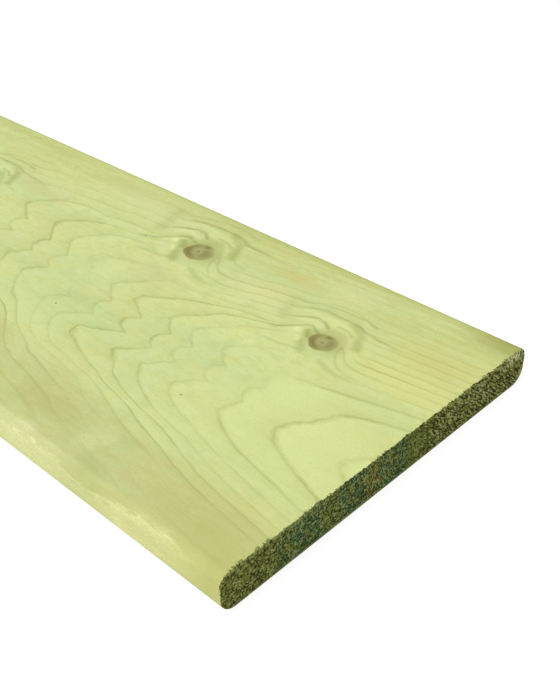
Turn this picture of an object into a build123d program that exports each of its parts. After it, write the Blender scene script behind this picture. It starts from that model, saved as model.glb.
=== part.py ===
"""A planed softwood board: one length of stock with four rounded long arrises and square-sawn ends."""

import os

from build123d import *

# Driving dimensions, in millimetres
board_length = 1800.0
board_width = 195.0
board_thickness = 19.0
face_arris_radius = 5.0  # the two long arrises of the upper, show face
back_arris_radius = 7.5  # the two long arrises of the underside
least_edge_land = 1.0  # flat that stays on each narrow edge between its two arrises


def arris_radii():
    """The two arris radii, eased together only where the board is too thin to hold both."""
    room = board_thickness - least_edge_land
    share = min(1.0, room / (face_arris_radius + back_arris_radius))
    return face_arris_radius * share, back_arris_radius * share


def planed_section():
    """The section that the planer leaves, lying on its underside: width along Y, thickness along Z."""
    face_radius, back_radius = arris_radii()
    with BuildSketch(Plane.YZ) as section:
        # In the sketch's own axes the width runs along X and the thickness along Y
        Rectangle(board_width, board_thickness, align=(Align.CENTER, Align.MIN))
        face_corners = section.vertices().group_by(Axis.Y)[-1]
        fillet(face_corners, face_radius)
        back_corners = section.vertices().group_by(Axis.Y)[0]
        fillet(back_corners, back_radius)
    return section.sketch


def board():
    """The section run along X, half the length to each side, and sawn square at both ends."""
    with BuildPart() as stock:
        extrude(planed_section(), amount=board_length / 2, both=True)
    return stock.part


os.makedirs("parts", exist_ok=True)
export_step(board(), "parts/board.step")
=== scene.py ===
"""Looks of a planed softwood board: its treated face figure, its knots and its rough sawn ends."""

import math
from types import SimpleNamespace

import bmesh
import bpy
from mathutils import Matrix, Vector, noise


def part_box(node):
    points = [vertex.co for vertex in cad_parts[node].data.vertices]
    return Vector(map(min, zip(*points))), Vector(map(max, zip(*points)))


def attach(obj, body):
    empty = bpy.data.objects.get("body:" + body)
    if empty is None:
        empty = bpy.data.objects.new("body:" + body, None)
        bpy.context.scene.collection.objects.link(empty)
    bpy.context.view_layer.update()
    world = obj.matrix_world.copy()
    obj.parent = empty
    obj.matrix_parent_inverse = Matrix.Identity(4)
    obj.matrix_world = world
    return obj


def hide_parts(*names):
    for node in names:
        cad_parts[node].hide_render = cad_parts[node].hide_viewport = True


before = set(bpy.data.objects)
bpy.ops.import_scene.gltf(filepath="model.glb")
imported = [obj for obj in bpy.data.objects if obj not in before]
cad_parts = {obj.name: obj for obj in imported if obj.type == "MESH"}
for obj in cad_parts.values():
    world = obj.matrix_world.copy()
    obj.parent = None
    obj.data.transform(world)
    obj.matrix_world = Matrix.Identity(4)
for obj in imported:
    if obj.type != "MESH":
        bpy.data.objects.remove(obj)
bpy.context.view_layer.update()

# The board's own sizes, in metres
MM = 0.001
board_low, board_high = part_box("board")
LENGTH = board_high.x - board_low.x
WIDTH = board_high.y - board_low.y
THICKNESS = board_high.z - board_low.z
FACE_ARRIS = 5.0 * MM
BACK_ARRIS = 7.5 * MM
HAIR = 0.001 * MM  # a point this near a flat face is on it

# Mesh of the skin: columns across the width, rows up the thickness,
# and cross cuts by their distance from an end, in millimetres
COLUMNS = 400
ROWS = 44
CROSS_CUTS = (2.8, 4.2, 7, 12, 20, 35, 60, 100, 160, 260, 400, 600, 900)

# Sawn ends: spans and depths of the roughness, in millimetres
TUFT_SPAN = 1.2
TUFT_DEPTH = 0.6
TUFT_SLOPE = 1.5
FIBRE_SPAN = 0.7
FIBRE_DEPTH = 0.22
SAW_WAVE_SPAN = 8.0
SAW_WAVE_DEPTH = 0.2
TEAR_SPAN = 2.0
TEAR_DEPTH = 0.8
TEAR_REACH = 1.2
CLEAN_REACH = 1.6
CLEAN_DEPTH = 0.4
CHIP_DEPTH = 0.12
LEAST_DEPTH = 0.2
ROUGHEST = 1.6
DEEPEST = 2.3
# Where each end, and the tearing of its rim, is read off in the roughness
FRONT_END_LAYER = 0.0
BACK_END_LAYER = 40.0
TEAR_LAYER = Vector((0.0, 0.0, 5.5))

# Baked maps: their width and the least gap in them, in pixels
MAP_WIDTH = 1024.0
MAP_GAP = 3.0
SEAM_SHARE = 0.9  # share of the way round past which a corner may lie over the seam

# Places below are in millimetres along from the photographed end, across from the middle and down
# from the face. Two numbers ease a share from 0 to 1 between them, and two more give other amounts
ENDLESS = 400.0  # a span too long to show in that direction
ELSEWHERE = (500.0, 70.0, 30.0)  # a shift to unrelated noise

# Growth rings: a point takes its ring and its knot from the place this much further on
FIGURE_SHIFT = (1.0, -0.7, 0.0)
PITH_PATH = (
    (0, -15.6, 43.9), (-100, -15.6, 62.9), (-165, -15.6, 75.3), (-200, -8, 82),
    (-240, 1, 89.6), (-290, 9, 98.8), (-430, 14, 122), (-620, 6, 136),
    (-900, -12, 128), (-1200, -24, 96), (-1500, -8, 66), (-1800, 10, 52),
)
RING_WIDTH = 4.9
FLATTEST_CUT = 0.2
NARROWEST_LINE = 0.6
LINE_SHARE_OF_RING = 0.07
FIRST_RING = 45.6
YEARS_SWING = 1.56
YEARS_SPAN = 53.6
# How far a ring stands out from a true circle, by its offset from the pith line
RING_STEPS = (
    (-110, -1), (-60, -1), (-52, 0.3), (-44, 0.6), (-38, 3.4), (-30, 4.7),
    (-22, 3.9), (-14, 0.7), (-6.6, -2.8), (-3, -1.7), (1, -1.5), (6.4, -2.2), (12, 0.2),
    (19.5, 2.5), (28, 3.5), (38, 4.5), (46, 2.4), (62, 1.2), (85, 0), (110, 0),
)
STEPS_GROW = (-20.0, -110.0)
STEPS_WANE = (-420.0, -760.0, 1.0, 0.4)
# How far the rings draw in along the board, all of them and then their near lobes alone
RING_DRIFT = (
    (-1800, 0), (-420, 1), (-291, 1.5), (-258, 1.5), (-235, 0), (-211, -0.6),
    (-181, 0.8), (-162, 0), (-135, 0.7), (-120, -0.6), (-99, -1.2), (-69, -0.9),
    (-40, -0.4), (0, 0.4),
)
NEAR_LOBE_DRIFT = (
    (-1800, 0), (-420, 2), (-300, 3), (-222, 3.4), (-197, 3.4), (-181, 1.5),
    (-164, 0.6), (-134, 1.2), (-114, 2), (-95, 1.25), (-69, 0.2), (-40, 0),
    (0, 0),
)
NEAR_LOBE_BEGINS = (-4.0, -26.0)
NEAR_LOBE_ENDS = (-70.0, -36.0)
# How far the innermost rings lean towards the near side by the end, by their offset from the pith line
LEAN_BY_END = (
    (-110, -1.2), (-60, -2), (-31, -2.2), (-26, -1.8), (-11, -0.9), (0, 0.8),
    (5.6, 1.3), (12, 0.8), (18, 0.2), (26, 0.4), (40, 0), (110, 0),
)
LEAN_GROWS = (-75.0, -38.0)
# How the rings wander, more away from the end, and how jagged they are
WANDER_SPANS = (110.0, 24.0, 24.0)
WANDER = (-330.0, -620.0, 0.8, 7.0)
JAG_SPANS = (7.0, 3.4, 3.4)
JAG = 0.8
# Late wood: a line at a ring's end, and the darkening before it
LINE_STRENGTH = 0.45
LATE_WOOD_POWER = 1.8
LATE_WOOD_STRENGTH = 0.25
# A dark year, after how many rings dark years come round again, and how much years differ
DARK_YEAR = 5.5
DARK_YEARS_APART = 4.5
YEARS_DIFFER = 0.25
YEARS_MEAN = 0.68

# Knots on the face: along, across and radius, in millimetres
KNOTS = (
    (-68.9, 34.6, 7), (-173.9, 54.1, 8.5), (-338, 27, 8), (-446, -46, 5.5),
    (-600, 38, 9), (-705, -60, 6), (-868, 52, 8), (-972, -38, 9.5),
    (-1080, 62, 5), (-1235, -20, 8.5), (-1345, 47, 6.5), (-1530, -58, 9),
    (-1640, 30, 5.5), (-1742, -34, 7.5),
)
WIDEST_KNOT = 10.0
# How far a knot lifts the ring lines towards the sapwood, by the place across it, all in knot radii
LIFT_BESIDE_KNOT = (
    (-5, 0), (-3.2, 0.45), (-1.6, 0.95), (0, 1.5), (1.2, 2), (2.15, 1.35), (3.1, 1.1),
    (4.4, 0.75), (6.5, 0),
)
# Where along the board that lift begins and ends, by the place across, in knot radii
LIFT_BEGINS = (-2.5, 0.0, -9.2, -4.2)
LIFT_FULL = -2.0
LIFT_ENDS = (0.8, 3.4, 1.0, 0.0)
LIFT_ENDS_SOONER = (0.6, 2.0, 0.0, 1.8)
# How a knot's outline wanders, and how it is drawn out
KNOT_SWAY_SPAN = 9.0
KNOT_SWAY = (0.36, 0.36, 0.0)
KNOT_SQUASH = (0.98, 1.08, 0.0)

# Bent grain round a knot, with painted sheen on its pale bands and painted glints, brushed on in this
# order: points in knot radii, width, amount and colour.
# Narrower strokes than broad ones fade away from the knot
BROAD_STROKE = 0.5
FAR_OFF = 99.0
MOSS = (158, 171, 86)
SHADOW = (156, 166, 96)
# Pale grain with a painted sheen, and small painted glints
PALE_SHEEN = (230, 240, 162)
GLINT = (240, 249, 166)
KNOT_STROKES = (
    (((-5, 2.9), (-4.75, 1.9), (-4.3, 0.7)), 0.8, 0.26, MOSS),
    (((0.2, 2.95), (1.3, 2.3), (1.75, 1.5), (2.1, 0.9)), 0.6, 0.5, MOSS),
    (((-0.6, 1.5), (0.8, 1.6)), 0.6, 0.2, MOSS),
    (((-3.4, 2.2), (-2.4, 2.6), (-1.2, 2.6), (0.3, 2.5)), 0.35, 0.5, PALE_SHEEN),
    (((-1.2, 2.1), (0.3, 2.3), (0.9, 2)), 0.35, 0.5, PALE_SHEEN),
    (((-3.2, 1.1), (-2.4, 1.7), (-1.5, 1.3)), 0.4, 0.65, PALE_SHEEN),
    (((-3, -0.2), (-2.2, 0.6)), 0.45, 0.5, PALE_SHEEN),
    (((0.6, 1.75), (1.2, 1.3), (1.5, 0.8)), 0.25, 0.5, PALE_SHEEN),
    (
        (
            (-4.6, -0.9), (-3.6, -0.6), (-3, 0.05), (-2.3, 0.75),
            (-1.85, 1.05), (-1.3, 0.75), (-0.85, 0.65),
        ),
        0.26, 0.64, SHADOW,
    ),
    (
        ((-4.9, 0.75), (-4.1, 0.9), (-2.95, 1.65), (-2.2, 2.05), (-1.4, 1.95), (-0.85, 1.6)),
        0.24, 0.58, SHADOW,
    ),
    (
        (
            (-5.4, 1.9), (-4.3, 2.3), (-3.35, 2.75), (-2.2, 3.1), (-0.6, 3.2),
            (0.6, 3.1), (1.4, 2.8), (2.6, 2.68), (5.6, 2.7),
        ),
        0.25, 0.52, SHADOW,
    ),
    (((-4.3, 2.9), (-3.2, 3.5), (-1.8, 3.9), (0.5, 4), (1.6, 3.7)), 0.25, 0.34, SHADOW),
    (((-0.4, 2.15), (0.4, 2.1), (1, 1.8)), 0.2, 0.4, SHADOW),
    (((-3.4, -2.1), (-2, -2), (-0.8, -1.65)), 0.25, 0.3, SHADOW),
    (((-1.75, 0.35), (-1.3, -0.1)), 0.5, 0.7, MOSS),
    (((-1.2, -0.9), (-0.6, -1.6)), 0.6, 0.5, MOSS),
    (((-2.45, 0.2), (-2.25, 0.05)), 0.35, 0.9, GLINT),
    (((-1.85, -0.5), (-1.6, -0.85)), 0.32, 0.9, GLINT),
    (((1.35, 0.45), (1.8, 0), (2.2, -0.5), (2.8, -0.85), (4.6, -1)), 0.17, 0.3, SHADOW),
    (((1.3, 0.3), (1.5, -0.4), (1.9, -1.1), (2.6, -1.6), (4.6, -1.8)), 0.17, 0.3, SHADOW),
    (((2.2, 0.87), (2.8, 0.5), (3.8, 0.3)), 0.2, 0.2, SHADOW),
    (((1.2, -1.8), (2, -2.1), (2.9, -2.25), (4.6, -2)), 0.4, 0.34, MOSS),
)

# Tints on the face: middle and reach along and across, in millimetres, amount and colour
TINTS = (
    ((-335, 86), (22, 7), 0.25, (194, 198, 112)),
    ((-300, 43), (36, 9), 0.4, (222, 208, 152)),
    ((-258, 84), (24, 6), 0.1, (190, 186, 108)),
    ((-235, 74), (50, 16), 0.55, (230, 233, 168)),
    ((-160, 87), (36, 7), 0.35, (205, 201, 116)),
    ((-117, 73), (17, 8), 0.5, (222, 204, 122)),
    ((-122, 46), (24, 13), 0.7, (235, 235, 164)),
    ((-85, 74), (22, 16), 0.65, (228, 234, 162)),
    ((-20, 54), (32, 14), 0.5, (221, 210, 122)),
    ((-25, 36), (44, 16), 0.65, (232, 236, 148)),
    ((-175, 24), (20, 11), 0.45, (213, 205, 146)),
    ((-192, 15), (10, 20), 0.5, (228, 238, 162)),
    ((-185, -18), (14, 9), 0.3, (190, 204, 138)),
    ((-50, 0), (26, 14), 0.5, (230, 244, 164)),
    ((-30, -24), (64, 38), 0.7, (231, 243, 163)),
    ((-205, -44), (40, 14), 0.5, (226, 238, 164)),
    ((-122, -79), (24, 9), 0.4, (192, 187, 114)),
    ((-91, -79), (6.5, 15), 0.7, (224, 229, 164)),
    ((-165, -62), (22, 10), 0.45, (230, 239, 174)),
    ((-75, -60), (22, 9), 0.45, (228, 237, 164)),
    ((-122, -97), (36, 6), 0.65, (240, 240, 186)),
    ((-80, -72), (9, 6), 0.4, (190, 208, 138)),
    ((-80, -93), (10, 6), 0.5, (184, 200, 130)),
    ((-62, -88), (14, 7), 0.35, (216, 206, 142)),
    ((-25, -85), (34, 10), 0.25, (198, 193, 104)),
    ((-5, -97.5), (12, 8), 0.65, (186, 183, 104)),
)
# How tints wander, and where a spot of tint ends, in its own reaches
TINT_SWAY_SPAN = 13.0
TINT_SWAY = (22.0, 11.0, 0.0)
SPOT_EDGE = 1.25
# The strips along both long sides; the near one slopes to its edge by the end and sways away from it
NEAR_STRIP = (-66.0, -78.0)
FAR_STRIP = (46.0, 88.0)
STRIP_SLOPES_TO = -200.0
STRIP_SLOPE = 0.08
STRIP_SWAY_SPANS = (240.0, ENDLESS, ENDLESS)
STRIP_SWAY = (-230.0, -420.0, 0.0, 110.0)
# Wear of the long arrises, pale partly as a painted highlight, by the place along: how far round from the
# face it begins, and how pale it is
WEAR_BEGINS = (
    (-1800, 5.5), (-160, 6), (-120, 6.5), (-99, 4.6), (-80, 10), (-61, 6.5),
    (-43, 4), (-27, 3), (-12, 8), (0, 9),
)
WEAR_AND_HIGHLIGHT = (
    (-1800, 0.4), (-120, 0.42), (-99, 0.3), (-80, 0.1), (-61, 0.4), (-43, 0.95),
    (-27, 0.85), (-18, 0.6), (-10, 0), (0, 0),
)
# How far the line where it begins wanders, broadly and finely
EDGE_WOBBLE = 4.0
EDGE_FUZZ = 6.0
# Where ring lines are faint: middle and reach
FAINT = (
    ((-64, 4), (17, 24)),
    ((-196, -6), (14, 20)),
    ((-98, 14), (14, 12)),
)
FAINTNESS = 0.75
# The tints and the faint places come again, mirrored, after this much of the board
TINTS_AGAIN = 420.0

# Dark specks on the face: along and across, in millimetres
SPECKS = (
    (-188, -28.3), (-88, -36.3), (-210, 47.7), (-402, -12), (-655, 20), (-1020, -55),
)
SPECK_RADIUS = 1.0

# Where treatment has pooled blue-green on a sawn end, by the place across
POOLS = (
    (-97.5, 0), (-72, 0.1), (-60, 0.9), (-48, 0.9), (-40, 0.25), (-34, 0.4),
    (-26, 1), (-17, 0.3), (-11, 0.2), (-5, 0.9), (5, 0.8), (14, 0.15), (40, 0),
    (97.5, 0),
)
# What makes a sawn end look deep, and how much. The saw's strokes show on its far half
TEAR_SHADE = 0.6
GRAIN_SHADE = 1.5
GRAINS_SHADE = (0.0, 1.0, 1.5, 2.1)
RING_SHADE = 0.3
STROKE_SHADE = 0.2
STROKE_SLANT = -40.0
STROKES_RUN = (0.0, 2.5, -3.0)
STROKE_WANDER = 12.0

# Sheen and relief of the two surfaces, and which of the board's materials each is
PLANED, SAWN = 0, 1
WOOD_SHINE = 0.25
PLANED_ROUGHNESS = 0.62
PLANED_RELIEF = 0.12
SAWN_ROUGHNESS = 0.9
SAWN_RELIEF = 0.5

# Camera of the photographed view
CAMERA_PLACE = Vector((board_high.x + 0.1754, -0.2541, 0.2748))
CAMERA_AZIMUTH = 43.28
CAMERA_ELEVATION = 34.45
CAMERA_LENS = 51.0
CAMERA_CLIP = 0.01

# The stage: floor and sky as they light the board and as the camera sees them, and one broad sun
FLOOR_REACH = 8.0
FLOOR_GREY = 0.86
FLOOR_SEEN_GREY = 0.35
FLOOR_SEEN_GLOW = 0.8
SKY_LIGHT = 0.5
SKY_SEEN = 1.0
SUN_COMES_FROM = Vector((-0.25, -0.8, 1.05))
SUN_SPREAD = 50.0
SUN_STRENGTH = 1.75


def shade(red, green, blue):
    """A colour as it looks, in 0 to 255, as the linear colour that a shader takes."""
    linear = []
    for part in (red, green, blue):
        share = part / 255
        if share <= 0.04045:
            linear.append(share / 12.92)
        else:
            linear.append(((share + 0.055) / 1.055) ** 2.4)
    return (*linear, 1.0)


def grey(share):
    """A grey as a shader takes it."""
    return (share, share, share, 1.0)


class Tree:
    """A shader node tree, with short ways to add the nodes that the finishes are made of."""

    measures = ("LENGTH", "DISTANCE", "DOT_PRODUCT")

    def __init__(self, tree):
        self.tree = tree

    def feed(self, socket, value):
        """Links a socket to another, or sets its own value."""
        if isinstance(value, bpy.types.NodeSocket):
            self.tree.links.new(value, socket)
        else:
            socket.default_value = value

    def node(self, kind, inputs=None, **settings):
        made = self.tree.nodes.new(kind)
        for name, value in settings.items():
            setattr(made, name, value)
        for name, value in (inputs or {}).items():
            self.feed(made.inputs[name], value)
        return made

    def worked_out(self, kind, operation, values):
        made = self.node(kind, operation=operation)
        for socket, value in zip(made.inputs, values):
            self.feed(socket, value)
        return made.outputs

    def maths(self, operation, *values):
        return self.worked_out("ShaderNodeMath", operation, values)[0]

    def product(self, first, *others):
        """Several values multiplied together."""
        for other in others:
            first = self.maths("MULTIPLY", first, other)
        return first

    def vector(self, operation, *values):
        """Vector maths, which gives a vector or, for a measure of vectors, a number."""
        outputs = self.worked_out("ShaderNodeVectorMath", operation, values)
        return outputs["Value" if operation in self.measures else "Vector"]

    def combine(self, x, y, z):
        return self.node("ShaderNodeCombineXYZ", {"X": x, "Y": y, "Z": z}).outputs[0]

    def separate(self, value):
        return tuple(self.node("ShaderNodeSeparateXYZ", {"Vector": value}).outputs)

    def ramp(self, value, low, high, to_low=0.0, to_high=1.0, smooth=True):
        """Carries a value from one span to another, held at both ends."""
        kind = "SMOOTHSTEP" if smooth else "LINEAR"
        spans = {"Value": value, "From Min": low, "From Max": high, "To Min": to_low, "To Max": to_high}
        made = self.node("ShaderNodeMapRange", spans, interpolation_type=kind, clamp=not smooth)
        return made.outputs[0]

    def band(self, value, middle, reach):
        """1 in the middle of a band of values, easing to 0 at both sides."""
        away = self.maths("ABSOLUTE", self.maths("SUBTRACT", value, middle))
        return self.ramp(away, 0.0, reach, 1.0, 0.0)

    def noise(self, place, spans, detail=2.0, roughness=0.5):
        """Noise whose grains are about as long as spans, in millimetres along, across and down."""
        scaled = self.vector("DIVIDE", place, spans)
        inputs = {"Vector": scaled, "Scale": 1.0, "Detail": detail, "Roughness": roughness}
        return self.node("ShaderNodeTexNoise", inputs).outputs["Fac"]

    def sway(self, place, span):
        """A vector that wanders to every side, by up to about half."""
        made = self.node("ShaderNodeTexNoise", {"Vector": place, "Scale": 1 / span})
        return self.vector("SUBTRACT", made.outputs["Color"], (0.5, 0.5, 0.5))

    def cells(self, place, spans):
        """Grains about as long as spans, each with a value of its own."""
        scaled = self.vector("DIVIDE", place, spans)
        made = self.node("ShaderNodeTexVoronoi", {"Vector": scaled, "Scale": 1.0})
        return self.separate(made.outputs["Color"])[0]

    def mix(self, share, first, second):
        """Two colours mixed. The node's sockets share names, so they go by number."""
        made = self.node("ShaderNodeMix", data_type="RGBA")
        self.feed(made.inputs[0], share)
        self.feed(made.inputs[6], first)
        self.feed(made.inputs[7], second)
        return made.outputs[2]

    def coats(self, wood, coats):
        """Lays colours over the wood one after another, each by its share."""
        for share, colour in coats:
            wood = self.mix(share, wood, shade(*colour))
        return wood

    def curve(self, value, points):
        """A curve through points of two numbers each, smooth but for sharp notches at its low points."""
        points = sorted(points)
        low_in, high_in = points[0][0], points[-1][0]
        low_out = min(out for _, out in points)
        high_out = max(out for _, out in points)
        made = self.node("ShaderNodeFloatCurve")
        line = made.mapping.curves[0]
        for place, out in points[1:-1]:
            line.points.new((place - low_in) / (high_in - low_in), (out - low_out) / (high_out - low_out))
        for point, out in ((line.points[0], points[0][1]), (line.points[-1], points[-1][1])):
            point.location.y = (out - low_out) / (high_out - low_out)
        for number, point in enumerate(line.points):
            notch = 0 < number < len(points) - 1 and points[number][1] < min(
                points[number - 1][1], points[number + 1][1]
            )
            point.handle_type = "VECTOR" if notch else "AUTO_CLAMPED"
        made.mapping.update()
        self.feed(made.inputs["Value"], self.ramp(value, low_in, high_in, smooth=False))
        return self.ramp(made.outputs["Value"], 0.0, 1.0, low_out, high_out, smooth=False)


class Group(Tree):
    """A shader node group with named inputs and outputs."""

    def __init__(self, name, inputs, outputs):
        super().__init__(bpy.data.node_groups.new(name, "ShaderNodeTree"))
        for socket_name in inputs:
            self.tree.interface.new_socket(socket_name, in_out="INPUT", socket_type="NodeSocketFloat")
        for socket_name in outputs:
            kind = "NodeSocketVector" if socket_name in ("Place", "Beside") else "NodeSocketFloat"
            self.tree.interface.new_socket(socket_name, in_out="OUTPUT", socket_type=kind)
        self.given = self.node("NodeGroupInput").outputs
        self.result = self.node("NodeGroupOutput").inputs

    def put(self, **values):
        for name, value in values.items():
            self.feed(self.result[name.replace("_", " ")], value)


def placed(tree, group, **inputs):
    """A group's node in a tree, with its inputs fed."""
    made = tree.node("ShaderNodeGroup", node_tree=group.tree)
    for name, value in inputs.items():
        tree.feed(made.inputs[name.replace("_", " ")], value)
    return made.outputs


def make_place_group():
    """Where a point is, in millimetres along from the front end, across, and down from the face."""
    group = Group("Place on the board", (), ("Place",))
    there = group.node("ShaderNodeTexCoord").outputs["Object"]
    moved = group.vector("SUBTRACT", there, (board_high.x, 0.0, board_high.z))
    group.put(Place=group.vector("MULTIPLY", moved, (1 / MM, 1 / MM, -1 / MM)))
    return group


def make_knot_group():
    """The place beside the knot of this stretch, in knot radii, and how far it lifts ring lines aside."""
    group = Group("Knots", ("Along", "Across", "Pith across", "Spread"), ("Lift", "Beside"))
    along, across = group.given["Along"], group.given["Across"]
    stretches = group.node("ShaderNodeValToRGB")
    stretches.color_ramp.interpolation = "CONSTANT"
    stops = stretches.color_ramp.elements
    stops.remove(stops[-1])
    start = 0.0
    for number, (knot_along, knot_across, radius) in enumerate(KNOTS):
        stop = stops.new(-start * MM / LENGTH) if number else stops[0]
        stop.color = (-knot_along * MM / LENGTH, 0.5 + knot_across * MM / WIDTH, radius / WIDEST_KNOT, 1.0)
        if number + 1 < len(KNOTS):
            start = (knot_along + KNOTS[number + 1][0]) / 2
    group.feed(stretches.inputs[0], group.maths("MULTIPLY", along, -MM / LENGTH))
    knot_along, knot_across, radius = group.separate(stretches.outputs["Color"])
    knot_along = group.maths("MULTIPLY", knot_along, -LENGTH / MM)
    knot_across = group.maths("MULTIPLY_ADD", knot_across, WIDTH / MM, -WIDTH / MM / 2)
    radius = group.maths("MULTIPLY", radius, WIDEST_KNOT)
    side = group.maths("SIGN", group.maths("SUBTRACT", knot_across, group.given["Pith across"]))
    u = group.maths("DIVIDE", group.maths("SUBTRACT", along, knot_along), radius)
    u = group.maths("MULTIPLY", u, group.given["Spread"])
    v = group.maths("DIVIDE", group.maths("SUBTRACT", across, knot_across), radius)
    v = group.maths("MULTIPLY", v, side)
    rise_begins = group.ramp(v, *LIFT_BEGINS)
    fall = group.maths("ADD", u, group.ramp(v, *LIFT_ENDS_SOONER))
    lift = group.product(
        group.curve(v, LIFT_BESIDE_KNOT),
        group.ramp(u, rise_begins, LIFT_FULL),
        group.ramp(fall, *LIFT_ENDS),
        radius,
        side,
    )
    group.put(Lift=lift, Beside=group.combine(u, v, 0.0))
    return group


def make_ring_group(place_group, knot_group):
    """Growth rings through the board: a point's year, its ring's width as seen, and the knot beside it."""
    group = Group("Growth rings", (), ("Place", "Year", "Ring width", "Beside"))
    place = placed(group, place_group)["Place"]
    along, across, down = group.separate(group.vector("ADD", place, FIGURE_SHIFT))
    pith_across = group.curve(along, [(point[0], point[1]) for point in PITH_PATH])
    pith_down = group.curve(along, [(point[0], point[2]) for point in PITH_PATH])
    offset = group.maths("SUBTRACT", across, pith_across)
    above_pith = group.maths("SUBTRACT", pith_down, down)
    spread = group.maths("DIVIDE", pith_down, above_pith)
    offset_on_face = group.maths("MULTIPLY", offset, spread)
    knots = placed(
        group, knot_group, Along=along, Pith_across=pith_across, Spread=spread,
        Across=group.maths("ADD", pith_across, offset_on_face),
    )
    offset_on_face = group.maths("SUBTRACT", offset_on_face, knots["Lift"])
    offset = group.maths("DIVIDE", offset_on_face, spread)
    radius = group.vector("LENGTH", group.combine(offset, above_pith, 0.0))
    steps = group.product(
        group.curve(offset_on_face, RING_STEPS),
        group.ramp(along, *STEPS_GROW),
        group.ramp(along, *STEPS_WANE),
    )
    radius = group.maths("SUBTRACT", radius, group.maths("DIVIDE", steps, spread))
    near_lobe = group.product(
        group.ramp(offset_on_face, *NEAR_LOBE_BEGINS),
        group.ramp(offset_on_face, *NEAR_LOBE_ENDS),
        group.curve(along, NEAR_LOBE_DRIFT),
    )
    drift = group.maths("ADD", near_lobe, group.curve(along, RING_DRIFT))
    radius = group.maths("ADD", radius, drift)
    lean = group.curve(offset_on_face, LEAN_BY_END)
    radius = group.maths("MULTIPLY_ADD", lean, group.ramp(along, *LEAN_GROWS), radius)
    wander = group.maths("SUBTRACT", group.noise(place, WANDER_SPANS), 0.5)
    radius = group.maths("MULTIPLY_ADD", wander, group.ramp(along, *WANDER), radius)
    jag = group.maths("SUBTRACT", group.noise(place, JAG_SPANS, 3.0, 0.6), 0.5)
    radius = group.maths("MULTIPLY_ADD", jag, JAG, radius)
    grown_out = group.maths("SUBTRACT", radius, FIRST_RING)
    swing = group.maths("SINE", group.maths("MULTIPLY", grown_out, math.tau / YEARS_SPAN))
    grown_out = group.maths("MULTIPLY_ADD", swing, -YEARS_SWING, grown_out)
    # A ring shows widest where the saw ran along it
    cut = group.maths("DIVIDE", offset, radius)
    cut = group.maths("SQRT", group.maths("MULTIPLY_ADD", cut, cut, FLATTEST_CUT**2))
    group.put(
        Place=place,
        Year=group.maths("DIVIDE", grown_out, RING_WIDTH),
        Ring_width=group.maths("DIVIDE", RING_WIDTH, cut),
        Beside=knots["Beside"],
    )
    return group


def new_material(name):
    material = bpy.data.materials.new(name)
    material.use_nodes = True
    material.node_tree.nodes.clear()
    return material, Tree(material.node_tree)


def finish_material(tree, colour, roughness, height, strength):
    """Puts a colour, a roughness and a relief on a surface."""
    surface = tree.node("ShaderNodeBsdfPrincipled", {"Base Color": colour, "Roughness": roughness})
    surface.inputs["Specular IOR Level"].default_value = WOOD_SHINE
    relief = tree.node("ShaderNodeBump", {"Height": height, "Strength": strength, "Distance": MM})
    tree.feed(surface.inputs["Normal"], relief.outputs[0])
    tree.feed(tree.node("ShaderNodeOutputMaterial").inputs["Surface"], surface.outputs[0])


def ring_lines(tree, grown):
    """Dark late wood: it comes on slowly through a year and ends in a line, stronger in some years."""
    share = tree.maths("SUBTRACT", 1.0, tree.maths("FRACT", grown["Year"]))
    left = tree.maths("MINIMUM", share, tree.maths("SUBTRACT", 1.0, share))
    reach = tree.maths("MULTIPLY_ADD", grown["Ring width"], LINE_SHARE_OF_RING, NARROWEST_LINE)
    line = tree.ramp(tree.maths("MULTIPLY", left, grown["Ring width"]), 0.0, reach, LINE_STRENGTH, 0.0)
    late_wood = tree.maths("POWER", share, LATE_WOOD_POWER)
    line = tree.maths("MULTIPLY_ADD", late_wood, LATE_WOOD_STRENGTH, line)
    turn = tree.maths("SUBTRACT", tree.maths("ROUND", grown["Year"]), DARK_YEAR)
    turn = tree.maths("COSINE", tree.maths("MULTIPLY", turn, math.tau / DARK_YEARS_APART))
    return tree.maths("MULTIPLY", line, tree.maths("MULTIPLY_ADD", turn, YEARS_DIFFER, YEARS_MEAN))


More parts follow.
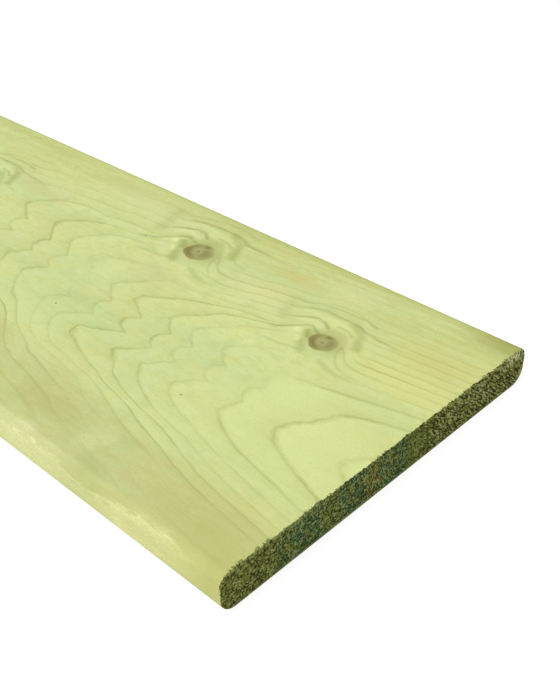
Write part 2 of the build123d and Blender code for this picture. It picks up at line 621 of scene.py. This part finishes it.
def paint_knot(tree, wood, beside, place):
    """Lays a knot over the wood: the bent grain round it, with painted sheen and glints, then its core.
    Lengths are in knot radii.
    """
    broken = tree.ramp(tree.noise(place, (9.0, 9.0, 9.0), 3.0), 0.3, 0.65, 0.6, 1.1)
    sway = tree.sway(place, KNOT_SWAY_SPAN)
    beside = tree.vector("MULTIPLY_ADD", sway, KNOT_SWAY, beside)
    away = tree.vector("LENGTH", tree.vector("MULTIPLY", beside, KNOT_SQUASH))
    reach = tree.vector("LENGTH", tree.vector("MULTIPLY", beside, (1.0, 0.5, 0.0)))
    tapered = tree.product(broken, tree.ramp(reach, 2.6, 5.4, 1.0, 0.0))

    def stroke(points, width, amount):
        """A soft brush stroke through points."""
        nearest = FAR_OFF
        for start, end in zip(points, points[1:]):
            run = Vector((end[0] - start[0], end[1] - start[1], 0.0))
            here = tree.vector("SUBTRACT", beside, (*start, 0.0))
            share = tree.vector("DOT_PRODUCT", here, run / run.length_squared)
            share = tree.maths("MINIMUM", tree.maths("MAXIMUM", share, 0.0), 1.0)
            reached = tree.node("ShaderNodeVectorMath", {"Vector": run, "Scale": share}, operation="SCALE")
            gap = tree.vector("DISTANCE", here, reached.outputs["Vector"])
            nearest = tree.maths("MINIMUM", gap, nearest)
        ends = tapered if width < BROAD_STROKE else broken
        return tree.product(tree.ramp(nearest, 0.0, width, amount, 0.0), ends)

    def side(along, across, narrow, amount):
        """The part of the knot that faces one way."""
        facing = tree.vector("DOT_PRODUCT", beside, (along, across, 0.0))
        return tree.ramp(tree.maths("DIVIDE", facing, away), narrow, 1.0, 0.0, amount)

    # Grain strokes, with painted sheen on the pale ones and painted glints
    for points, width, amount, colour in KNOT_STROKES:
        wood = tree.mix(stroke(points, width, amount), wood, shade(*colour))
    halo = tree.ramp(away, 0.9, 2.3, 0.55, 0.0)
    halo = tree.product(halo, tree.maths("SUBTRACT", 1.0, side(-0.2, -1.0, 0.0, 0.7)))
    wood = tree.mix(halo, wood, shade(168, 173, 96))
    core = tree.coats(shade(172, 171, 104), (
        (tree.product(tree.band(away, 0.42, 0.32), side(-0.7, 0.7, 0.1, 0.7)), (174, 178, 114)),
        (tree.product(tree.band(away, 0.5, 0.45), side(1.0, 0.2, 0.1, 0.75)), (146, 143, 82)),
        (tree.product(tree.band(away, 0.7, 0.34), side(-0.7, -0.7, 0.1, 0.85)), (128, 120, 58)),
        (tree.product(tree.band(away, 0.85, 0.3), side(-1.0, 0.1, 0.4, 0.6)), (140, 134, 70)),
        (stroke(((0.05, 0.78), (-0.05, 0.72)), 0.3, 0.7), (120, 112, 54)),
        (stroke(((-0.06, 0.0), (0.0, -0.02)), 0.15, 0.9), (124, 118, 72)),
        (stroke(((-0.25, 0.2), (0.1, 0.15), (0.2, -0.15)), 0.12, 0.6), (188, 186, 130)),
        (tree.product(tree.band(away, 0.97, 0.15), side(-0.7, -0.7, -1.0, 0.75)), (140, 112, 58)),
    ))
    return tree.mix(tree.ramp(away, 0.88, 1.14, 1.0, 0.0), wood, core)


def lie_of_face(tree, place):
    """Where a point is on the board, and how far it belongs to the parts of the face that differ."""
    along, across, down = tree.separate(place)
    # The near strip keeps to one side of a ring line, which runs out to the edge towards the end
    strip_line = tree.maths("MAXIMUM", along, STRIP_SLOPES_TO)
    strip_line = tree.maths("MULTIPLY_ADD", strip_line, STRIP_SLOPE, across)
    strip_sway = tree.maths("SUBTRACT", tree.noise(place, STRIP_SWAY_SPANS), 0.5)
    strip_sway = tree.product(strip_sway, tree.ramp(along, *STRIP_SWAY))
    strip_line = tree.maths("ADD", strip_line, strip_sway)
    near = tree.ramp(strip_line, *NEAR_STRIP)
    far = tree.ramp(across, *FAR_STRIP)
    # Tints are laid out on one stretch of the board, folded over and over
    folded = tree.maths("MULTIPLY", tree.maths("PINGPONG", along, TINTS_AGAIN), -1.0)
    folded = tree.combine(folded, across, down)
    folded = tree.vector("MULTIPLY_ADD", tree.sway(place, TINT_SWAY_SPAN), TINT_SWAY, folded)
    wobble = tree.noise(place, (16.0, ENDLESS, ENDLESS), 3.0, 0.6)
    return SimpleNamespace(
        place=place, along=along, across=across, down=down,
        strip_line=strip_line, near=near, far=far, folded=folded,
        elsewhere=tree.vector("ADD", place, ELSEWHERE),
        out=tree.maths("ABSOLUTE", across),
        by_side=tree.maths("MAXIMUM", near, far),
        by_end=tree.ramp(along, -110.0, -5.0),
        wobble=tree.maths("SUBTRACT", wobble, 0.5),
    )


def spot(tree, face, middle, reach, amount):
    """A soft spot on the face."""
    away = tree.vector("SUBTRACT", face.folded, (*middle, 0.0))
    away = tree.vector("DIVIDE", away, (*reach, THICKNESS / MM))
    return tree.ramp(tree.vector("LENGTH", away), 0.0, SPOT_EDGE, amount, 0.0)


def bare_wood(tree, face, streaks):
    """The wood's own colour: clouds, fine mottling, then blotches and streaks along both long sides."""
    place, elsewhere = face.place, face.elsewhere
    near, far, by_side = face.near, face.far, face.by_side
    clouds = tree.noise(place, (130.0, 40.0, 40.0), 3.0, 0.6)
    wood = tree.mix(tree.ramp(clouds, 0.34, 0.66), shade(213, 230, 160), shade(227, 238, 162))
    yellow = tree.noise(elsewhere, (70.0, 26.0, 26.0), 3.0, 0.6)
    mottle = tree.noise(place, (8.0, 3.5, 3.5), 3.0, 0.65)
    pale_mottle = tree.noise(elsewhere, (9.0, 4.5, 4.5), 3.0, 0.6)
    warm = tree.noise(elsewhere, (10.0, 8.0, 8.0), 2.0)
    cool = tree.noise(place, (11.0, 9.0, 9.0), 2.0)
    bands = tree.noise(place, (170.0, 10.0, 10.0), 3.0)
    pale_bands = tree.noise(elsewhere, (140.0, 9.0, 9.0), 3.0)
    blotches = tree.noise(place, (13.0, 8.0, 8.0), 4.0, 0.65)
    green_blotches = tree.noise(elsewhere, (15.0, 8.0, 8.0), 4.0, 0.65)
    fine_warm = tree.noise(place, (7.0, 3.0, 3.0), 2.0, 0.6)
    fine_cool = tree.noise(elsewhere, (6.0, 3.0, 3.0), 2.0, 0.6)
    streaky = tree.ramp(by_side, 0.0, 1.0, 0.15, 0.42)
    return tree.coats(wood, (
        (tree.ramp(yellow, 0.42, 0.66, 0.0, 0.5), (225, 226, 150)),
        (tree.product(face.by_end, 0.3), (224, 227, 144)),
        (tree.ramp(mottle, 0.45, 0.75, 0.0, 0.35), (192, 202, 122)),
        (tree.ramp(pale_mottle, 0.5, 0.75, 0.0, 0.45), (232, 239, 180)),
        (tree.ramp(warm, 0.48, 0.72, 0.0, 0.35), (226, 224, 138)),
        (tree.ramp(cool, 0.48, 0.72, 0.0, 0.35), (202, 220, 146)),
        (tree.product(far, tree.ramp(bands, 0.35, 0.65, 0.1, 0.75)), (208, 213, 128)),
        (tree.product(far, tree.ramp(pale_bands, 0.5, 0.7, 0.0, 0.7)), (224, 230, 150)),
        (tree.product(near, 0.6), (208, 210, 138)),
        (tree.product(near, tree.ramp(blotches, 0.4, 0.7, 0.0, 0.5)), (202, 194, 120)),
        (tree.product(near, tree.ramp(green_blotches, 0.42, 0.7, 0.0, 0.55)), (206, 219, 152)),
        (tree.product(far, tree.ramp(blotches, 0.54, 0.7, 0.0, 0.5)), (218, 208, 140)),
        (tree.product(by_side, tree.ramp(fine_warm, 0.48, 0.68, 0.0, 0.36)), (214, 200, 124)),
        (tree.product(by_side, tree.ramp(fine_cool, 0.48, 0.68, 0.0, 0.36)), (200, 219, 148)),
        (tree.product(tree.ramp(streaks, 0.5, 0.75), streaky), (188, 193, 115)),
    ))


def draw_rings(tree, face, grown, wood):
    """Ring lines, fainter where the section turns, on the near strip, and far across away from the end."""
    turned = tree.ramp(tree.maths("MULTIPLY_ADD", face.wobble, EDGE_WOBBLE, face.out), 90.0, 96.5)
    by_strip = tree.ramp(face.along, -150.0, -105.0, 0.75, 0.25)
    far_away = tree.product(
        tree.ramp(face.across, 50.0, 72.0),
        tree.ramp(face.along, -180.0, -270.0, 0.7, 1.0),
    )
    fade = tree.product(
        tree.ramp(tree.noise(face.place, (40.0, 14.0, 14.0)), 0.3, 0.7, 0.5, 1.2),
        tree.ramp(tree.vector("LENGTH", grown["Beside"]), 2.4, 4.4, 0.2, 1.0),
        tree.ramp(turned, 0.0, 1.0, 1.0, 0.2),
        tree.ramp(face.strip_line, -80.0, -74.0, by_strip, 1.0),
        tree.ramp(far_away, 0.0, 1.0, 1.0, 0.3),
    )
    for middle, reach in FAINT:
        fade = tree.product(fade, tree.maths("SUBTRACT", 1.0, spot(tree, face, middle, reach, FAINTNESS)))
    tan = tree.maths("MAXIMUM", face.far, tree.product(face.by_end, tree.ramp(face.across, 5.0, 40.0)))
    ink = tree.mix(tan, shade(164, 173, 86), shade(176, 167, 74))
    line = tree.maths("MULTIPLY", ring_lines(tree, grown), fade)
    return tree.mix(tree.maths("MINIMUM", line, 1.0), wood, ink)


def lie_of_wear(tree, face):
    """How far round an arris a point is, and how far past the ragged line where its wear begins."""
    wound = tree.maths("SUBTRACT", face.down, (WIDTH / 2 - FACE_ARRIS) / MM)
    wound = tree.maths("ADD", face.out, wound)
    fuzz = tree.noise(face.place, (7.0, 1.4, 1.4), 4.0, 0.7)
    below = tree.maths("SUBTRACT", wound, tree.curve(face.along, WEAR_BEGINS))
    below = tree.maths("MULTIPLY_ADD", face.wobble, EDGE_WOBBLE, below)
    below = tree.maths("MULTIPLY_ADD", tree.maths("SUBTRACT", fuzz, 0.5), EDGE_FUZZ, below)
    return SimpleNamespace(wound=wound, fuzz=fuzz, below=below, by_edge=tree.ramp(face.out, 88.0, 92.0))


def paint_arris_wear_and_light(tree, face, wear, wood):
    """Keeps the face's green on the arrises down to the ragged line, with painted shade as they turn, and
    wears them pale below it, partly as a painted highlight; paints shade along the far arris.
    """
    worn_and_lit = tree.product(tree.ramp(wear.below, -2.2, 2.2), wear.by_edge)
    # The face's green runs on down the arris, darkened as painted shade as the arris turns
    kept_and_shaded = tree.product(
        tree.maths("SUBTRACT", 1.0, worn_and_lit),
        wear.by_edge,
        tree.ramp(wear.wound, 0.5, 4.5, 0.0, 0.36),
    )
    # Pale below the ragged line: wear, and a painted highlight where the arris turns to the light
    pale = tree.ramp(tree.noise(face.place, (30.0, 30.0, 6.0), 3.0, 0.6), 0.35, 0.65, 0.6, 1.4)
    pale = tree.product(worn_and_lit, pale, tree.curve(face.along, WEAR_AND_HIGHLIGHT))
    near_corner = tree.product(
        tree.ramp(face.along, -70.0, -4.0),
        tree.ramp(face.across, -50.0, -90.0),
        0.45,
    )
    # Painted shade along the far arris, where it turns away from the light
    far_arris_shade = tree.product(
        tree.ramp(face.across, 88.0, 94.0),
        tree.ramp(face.along, -330.0, -120.0, 0.18, 0.42),
    )
    return tree.coats(wood, (
        (kept_and_shaded, (170, 176, 104)),
        (pale, (231, 229, 162)),
        (near_corner, (199, 197, 116)),
        (far_arris_shade, (176, 186, 98)),
    ))


def add_grit(tree, face, wood):
    """Dulls the wood in fine grains, more along both long sides."""
    grit = tree.noise(face.place, (0.9, 0.7, 0.7), 2.0, 0.7)
    amount = tree.ramp(face.by_side, 0.0, 1.0, 0.32, 0.58)
    return tree.mix(tree.product(tree.ramp(grit, 0.42, 0.72), amount), wood, shade(190, 200, 126))


def add_specks(tree, face, wood):
    """Small dark specks on the face."""
    for along, across in SPECKS:
        gap = tree.vector("DISTANCE", face.place, (along, across, 0.0))
        wood = tree.mix(tree.ramp(gap, 0.0, SPECK_RADIUS, 0.8, 0.0), wood, shade(112, 116, 56))
    return wood


def tear_arris(tree, face, wear, wood):
    """Clusters of torn fibres on the near side, along the line where the wear begins: pale fibres, partly
    as a painted highlight, with painted shade between them.
    """
    torn = tree.product(tree.band(wear.below, 0.3, 2.8), wear.by_edge, tree.ramp(face.across, 0.0, -40.0))
    clusters = tree.noise(face.elsewhere, (34.0, ENDLESS, ENDLESS))
    torn = tree.product(torn, tree.ramp(clusters, 0.38, 0.58, 0.25, 1.0))
    # Pale raised fibres, partly a painted highlight
    raised_and_lit = tree.product(torn, tree.ramp(wear.fuzz, 0.5, 0.68), 0.75)
    wood = tree.mix(raised_and_lit, wood, shade(240, 242, 184))
    # Painted shade between the fibres
    sunk_shade = tree.product(torn, tree.ramp(wear.fuzz, 0.34, 0.5, 1.0, 0.0), 0.55)
    return tree.mix(sunk_shade, wood, shade(180, 187, 114))


def stain_ends(tree, face, wood):
    """Dark stain drawn into the face from the sawn ends."""
    from_front = tree.maths("MULTIPLY", face.along, -1.0)
    from_back = tree.maths("ADD", face.along, LENGTH / MM)
    from_end = tree.maths("MINIMUM", from_front, from_back)
    creep = tree.noise(face.place, (2.8, 0.9, 0.9), 2.0, 0.6)
    reach = tree.ramp(creep, 0.42, 0.62, 0.3, 2.0, smooth=False)
    stretches = tree.noise(face.elsewhere, (ENDLESS, 7.0, ENDLESS))
    reach = tree.product(reach, tree.ramp(stretches, 0.42, 0.66, 0.6, 1.05))
    stain = tree.ramp(tree.maths("SUBTRACT", from_end, reach), -0.6, 0.3, 0.8, 0.0)
    wood = tree.mix(stain, wood, shade(104, 108, 50))
    far_corner = tree.product(tree.ramp(face.across, 76.0, 90.0), tree.ramp(from_end, 3.0, 40.0, 0.58, 0.0))
    return tree.mix(far_corner, wood, shade(154, 155, 66))


def planed_material(rings):
    """Planed softwood, pale green from its treatment."""
    material, tree = new_material("planed treated softwood")
    grown = placed(tree, rings)
    face = lie_of_face(tree, grown["Place"])
    streaks = tree.noise(face.place, (45.0, 0.8, 0.8), 3.0, 0.6)
    wood = bare_wood(tree, face, streaks)
    for middle, reach, amount, colour in TINTS:
        wood = tree.mix(spot(tree, face, middle, reach, amount), wood, shade(*colour))
    wood = draw_rings(tree, face, grown, wood)
    wear = lie_of_wear(tree, face)
    wood = paint_arris_wear_and_light(tree, face, wear, wood)
    wood = add_grit(tree, face, wood)
    wood = paint_knot(tree, wood, grown["Beside"], face.place)
    wood = add_specks(tree, face, wood)
    wood = tear_arris(tree, face, wear, wood)
    wood = stain_ends(tree, face, wood)
    finish_material(tree, wood, PLANED_ROUGHNESS, streaks, PLANED_RELIEF)
    return material


def sawn_depth(tree, grown, far, grain):
    """How deep a point of a sawn end looks, for painted shade in its hollows: torn grains, ring lines, and
    saw strokes on the far half.
    """
    place = grown["Place"]
    tear = tree.node("ShaderNodeAttribute", attribute_name="tear").outputs["Fac"]
    grains = tree.cells(place, (0.75, 0.75, 0.75))
    slanted = tree.node(
        "ShaderNodeVectorRotate",
        {"Vector": place, "Angle": math.radians(STROKE_SLANT)},
        rotation_type="X_AXIS",
    )
    strokes = tree.cells(slanted.outputs[0], (0.75, 2.0, 0.6))
    grains = tree.maths("MULTIPLY_ADD", tree.maths("SUBTRACT", strokes, grains), far, grains)
    depth = tree.maths("MULTIPLY", tear, TEAR_SHADE)
    depth = tree.maths("MULTIPLY_ADD", tree.maths("SUBTRACT", grain, 0.5), GRAIN_SHADE, depth)
    contrast = tree.ramp(far, *GRAINS_SHADE)
    depth = tree.maths("MULTIPLY_ADD", tree.maths("SUBTRACT", grains, 0.5), contrast, depth)
    wander = tree.maths("MULTIPLY", tree.noise(place, (5.0, 5.0, 5.0)), STROKE_WANDER)
    slant = tree.vector("DOT_PRODUCT", place, STROKES_RUN)
    slant = tree.maths("SINE", tree.maths("ADD", slant, wander))
    depth = tree.maths("MULTIPLY_ADD", tree.product(slant, far), STROKE_SHADE, depth)
    return tree.maths("MULTIPLY_ADD", ring_lines(tree, grown), RING_SHADE, depth)


def sawn_material(rings):
    """The rough end grain that a saw leaves, soaked dark with treatment, and with painted shade in its
    hollows.
    """
    material, tree = new_material("sawn end grain")
    grown = placed(tree, rings)
    place = grown["Place"]
    _, across, down = tree.separate(place)
    far = tree.ramp(across, 0.0, 35.0)
    grain = tree.noise(place, (0.9, 0.9, 0.9), 3.0, 0.7)
    depth = sawn_depth(tree, grown, far, grain)
    pools = tree.ramp(tree.noise(place, (5.0, 5.0, 5.0)), 0.32, 0.54)
    pools = tree.product(tree.curve(across, POOLS), pools, 0.9)
    rust = tree.ramp(tree.noise(place, (3.0, 3.0, 3.0)), 0.48, 0.58)
    rust = tree.product(tree.band(across, -13.0, 8.0), rust, 0.6)
    hairs = tree.ramp(tree.noise(place, (3.0, 0.8, 3.0), 2.0, 0.7), 0.47, 0.56)
    far_corner = tree.product(tree.ramp(across, 76.0, 88.0), tree.ramp(down, 3.0, 8.0, 1.0, 0.0), hairs)
    near_rim = tree.product(tree.ramp(across, -30.0, -60.0), tree.ramp(down, 0.4, 2.6, 0.8, 0.0), hairs)
    wood = tree.mix(tree.noise(place, (12.0, 12.0, 8.0)), shade(126, 129, 40), shade(107, 123, 42))
    wood = tree.coats(wood, (
        (pools, (46, 102, 64)),
        (rust, (150, 112, 52)),
        # Painted shade where the end looks deepest, and paler where it stands highest
        (tree.ramp(depth, 0.28, 0.9, 0.0, 0.95), (46, 50, 4)),
        (tree.ramp(depth, -0.45, 0.15, 0.8, 0.0), (180, 182, 120)),
        (far_corner, (224, 226, 164)),
        (near_rim, (186, 190, 112)),
        (tree.ramp(down, 17.4, 18.8, 0.0, 0.4), (158, 160, 112)),
    ))
    finish_material(tree, wood, SAWN_ROUGHNESS, grain, SAWN_RELIEF)
    return material


def half_width(height):
    """Half the section's width at a height above the underside."""
    if height < BACK_ARRIS:
        radius, rise = BACK_ARRIS, BACK_ARRIS - height
    else:
        radius, rise = FACE_ARRIS, max(0.0, height - (THICKNESS - FACE_ARRIS))
    return WIDTH / 2 - radius + math.sqrt(max(0.0, radius**2 - rise**2))


def way_round(across, height):
    """How far round the section an outline point is from the face's middle, below 0 on the near side."""
    side = math.copysign(1.0, across)
    turn = math.pi / 2
    if height > THICKNESS - HAIR:
        return across
    way = WIDTH / 2 - FACE_ARRIS
    if height > THICKNESS - FACE_ARRIS:
        return side * (way + FACE_ARRIS * math.acos((height - THICKNESS + FACE_ARRIS) / FACE_ARRIS))
    way += FACE_ARRIS * turn
    if height > BACK_ARRIS:
        return side * (way + THICKNESS - FACE_ARRIS - height)
    way += THICKNESS - FACE_ARRIS - BACK_ARRIS
    if height > HAIR:
        return side * (way + BACK_ARRIS * math.asin((BACK_ARRIS - height) / BACK_ARRIS))
    return side * (way + BACK_ARRIS * turn + WIDTH / 2 - BACK_ARRIS - abs(across))


def lay_out_map(mesh, way):
    """Unrolls the board on its map: two half lengths of skin, cut along the underside, then finer ends."""
    half_round = way_round(0.0, 0.0)
    fine = (MAP_WIDTH - 2 * MAP_GAP) / (LENGTH / 2)
    finer = (MAP_WIDTH - 3 * MAP_GAP) / (WIDTH * 2)
    layer = mesh.loops.layers.uv.new("OFBake")
    for face in mesh.faces:
        middle = face.calc_center_median()
        front = middle.x > 0
        for corner in face.loops:
            spot = corner.vert.co
            if face.material_index == SAWN:
                right = MAP_GAP + finer * (WIDTH / 2 + (spot.y if front else -spot.y))
                right += 0.0 if front else MAP_GAP + finer * WIDTH
                up = 3 * MAP_GAP + fine * half_round * 4 + finer * spot.z
            else:
                round_face = corner.vert[way]
                if abs(round_face) > SEAM_SHARE * half_round and round_face * middle.y < 0:
                    round_face -= math.copysign(2 * half_round, round_face)
                right = MAP_GAP + fine * (spot.x if front else spot.x - board_low.x)
                up = MAP_GAP + fine * (half_round + round_face)
                up += 0.0 if front else MAP_GAP + fine * half_round * 2
            corner[layer].uv = (right / MAP_WIDTH, up / MAP_WIDTH)


def add_end(mesh, along):
    """One flat end, as a grid that follows the section's outline, its rows crowded towards the arrises."""
    made = bmesh.ops.create_grid(mesh, x_segments=COLUMNS, y_segments=ROWS, size=0.5)
    for vertex in made["verts"]:
        share_across = vertex.co.x * 2
        height = THICKNESS * (1 - math.cos(math.pi * (vertex.co.y + 0.5))) / 2
        vertex.co = (along, share_across * half_width(height), height)
    return made["verts"]


def roughness_at(spot):
    """How deep the saw has torn a sawn end at a spot in millimetres: tufts of fibres with gaps between."""
    tufts = noise.voronoi(spot / TUFT_SPAN)[0][0]
    fibres = noise.noise(spot / FIBRE_SPAN)
    waves = noise.noise(spot / SAW_WAVE_SPAN)
    depth = TUFT_DEPTH * min(1.0, tufts * TUFT_SLOPE)
    return depth + FIBRE_DEPTH * (1 + fibres) + SAW_WAVE_DEPTH * (1 + waves)


def roughen(vertices, outwards, layer, tear):
    """Sinks an end's points into the board, deepest between tufts and where the rim is torn."""
    for vertex in vertices:
        across, height = vertex.co.y, vertex.co.z
        spot = Vector((across / MM, height / MM, layer))
        depth = roughness_at(spot)
        vertex[tear] = depth / ROUGHEST
        depth = max(0.0, depth - LEAST_DEPTH)
        from_side = (half_width(height) - abs(across)) / MM
        from_face = (THICKNESS - height) / MM
        if height > THICKNESS - FACE_ARRIS:
            from_face = min(from_face, from_side)
            from_clean_rim = CLEAN_REACH
        else:
            from_clean_rim = min(height / MM, from_side, CLEAN_REACH)
        if from_face < TEAR_REACH:
            torn = max(0.0, noise.noise(spot / TEAR_SPAN + TEAR_LAYER))
            depth += TEAR_DEPTH * torn * (1 - from_face / TEAR_REACH)
            chip = max(0.0, noise.noise(Vector((spot.x, 0.0, layer)) / TEAR_SPAN))
            vertex.co.z -= CHIP_DEPTH * MM * chip * (1 - from_face / TEAR_REACH)
        depth = CLEAN_DEPTH + (depth - CLEAN_DEPTH) * from_clean_rim / CLEAN_REACH
        vertex.co.x -= outwards * min(depth, DEEPEST) * MM


def add_skin(mesh, rim, far_rim, tear):
    """Runs the rim of one end along the board to the other."""
    near_half = [board_high.x - cut * MM for cut in CROSS_CUTS]
    far_half = [board_low.x + cut * MM for cut in reversed(CROSS_CUTS[:-1])]
    for along in near_half + far_half:
        made = bmesh.ops.extrude_edge_only(mesh, edges=rim)["geom"]
        for part in made:
            if isinstance(part, bmesh.types.BMVert):
                part.co.x = along
                part[tear] = 0.0
        rim = [part for part in made if isinstance(part, bmesh.types.BMEdge) and part.is_boundary]
    bmesh.ops.bridge_loops(mesh, edges=rim + far_rim)


def make_board(planed, sawn):
    """The whole board as one closed mesh: two rough ends and the planed skin between them."""
    mesh = bmesh.new()
    tear = mesh.verts.layers.float.new("tear")
    way = mesh.verts.layers.float.new("way round")
    front = add_end(mesh, board_high.x)
    back = add_end(mesh, board_low.x)
    ends = set(mesh.faces)
    for vertex in mesh.verts:
        vertex[way] = way_round(vertex.co.y, vertex.co.z)
    rim = [edge for edge in mesh.edges if edge.is_boundary and edge.verts[0].co.x > 0]
    far_rim = [edge for edge in mesh.edges if edge.is_boundary and edge.verts[0].co.x < 0]
    add_skin(mesh, rim, far_rim, tear)
    roughen(front, 1.0, FRONT_END_LAYER, tear)
    roughen(back, -1.0, BACK_END_LAYER, tear)
    for face in mesh.faces:
        face.smooth = True
        face.material_index = SAWN if face in ends else PLANED
    for edge in mesh.edges:
        if len({face.material_index for face in edge.link_faces}) > 1:
            edge.smooth = False
    bmesh.ops.recalc_face_normals(mesh, faces=mesh.faces)
    lay_out_map(mesh, way)
    mesh.verts.layers.float.remove(way)
    data = bpy.data.meshes.new("planed_board")
    mesh.to_mesh(data)
    mesh.free()
    data.materials.append(planed)
    data.materials.append(sawn)
    piece = bpy.data.objects.new("planed_board", data)
    bpy.context.scene.collection.objects.link(piece)
    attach(piece, "root")
    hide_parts("board")


def make_stage():
    """A white floor that keeps the board's faint shadow, and even light from all round."""
    mesh = bmesh.new()
    bmesh.ops.create_grid(mesh, x_segments=1, y_segments=1, size=FLOOR_REACH)
    data = bpy.data.meshes.new("floor")
    mesh.to_mesh(data)
    mesh.free()
    floor = bpy.data.objects.new("floor", data)
    bpy.context.scene.collection.objects.link(floor)
    material, tree = new_material("pale floor")
    plain = tree.node("ShaderNodeBsdfDiffuse", {"Color": grey(FLOOR_GREY)})
    seen = tree.node("ShaderNodeBsdfDiffuse", {"Color": grey(FLOOR_SEEN_GREY)})
    glow = tree.node("ShaderNodeEmission", {"Color": grey(1.0), "Strength": FLOOR_SEEN_GLOW})
    both = tree.node("ShaderNodeAddShader")
    tree.feed(both.inputs[0], seen.outputs[0])
    tree.feed(both.inputs[1], glow.outputs[0])
    path = tree.node("ShaderNodeLightPath").outputs
    choose = tree.node("ShaderNodeMixShader", {0: path["Is Camera Ray"]})
    tree.feed(choose.inputs[1], plain.outputs[0])
    tree.feed(choose.inputs[2], both.outputs[0])
    tree.feed(tree.node("ShaderNodeOutputMaterial").inputs["Surface"], choose.outputs[0])
    floor.data.materials.append(material)
    world = bpy.data.worlds.new("studio")
    world.use_nodes = True
    world.node_tree.nodes.clear()
    air = Tree(world.node_tree)
    path = air.node("ShaderNodeLightPath").outputs
    strength = air.ramp(path["Is Camera Ray"], 0.0, 1.0, SKY_LIGHT, SKY_SEEN, smooth=False)
    light = air.node("ShaderNodeBackground", {"Color": grey(1.0), "Strength": strength})
    air.feed(air.node("ShaderNodeOutputWorld").inputs["Surface"], light.outputs[0])
    bpy.context.scene.world = world


def add_sun(name, come_from, spread, strength):
    """A broad soft light from far away."""
    light = bpy.data.lights.new(name, "SUN")
    light.angle = math.radians(spread)
    light.energy = strength
    lamp = bpy.data.objects.new(name, light)
    lamp.rotation_euler = (-come_from).to_track_quat("-Z", "Y").to_euler()
    bpy.context.scene.collection.objects.link(lamp)


def add_camera():
    camera = bpy.data.objects.new("camera", bpy.data.cameras.new("camera"))
    camera.data.lens = CAMERA_LENS
    camera.data.clip_start = CAMERA_CLIP
    camera.location = CAMERA_PLACE
    camera.rotation_euler = (math.radians(90 - CAMERA_ELEVATION), 0.0, math.radians(CAMERA_AZIMUTH))
    bpy.context.scene.collection.objects.link(camera)
    bpy.context.scene.camera = camera


rings = make_ring_group(make_place_group(), make_knot_group())
make_board(planed_material(rings), sawn_material(rings))
make_stage()
add_sun("key", SUN_COMES_FROM, SUN_SPREAD, SUN_STRENGTH)
add_camera()
bpy.context.scene.view_settings.view_transform = "Standard"
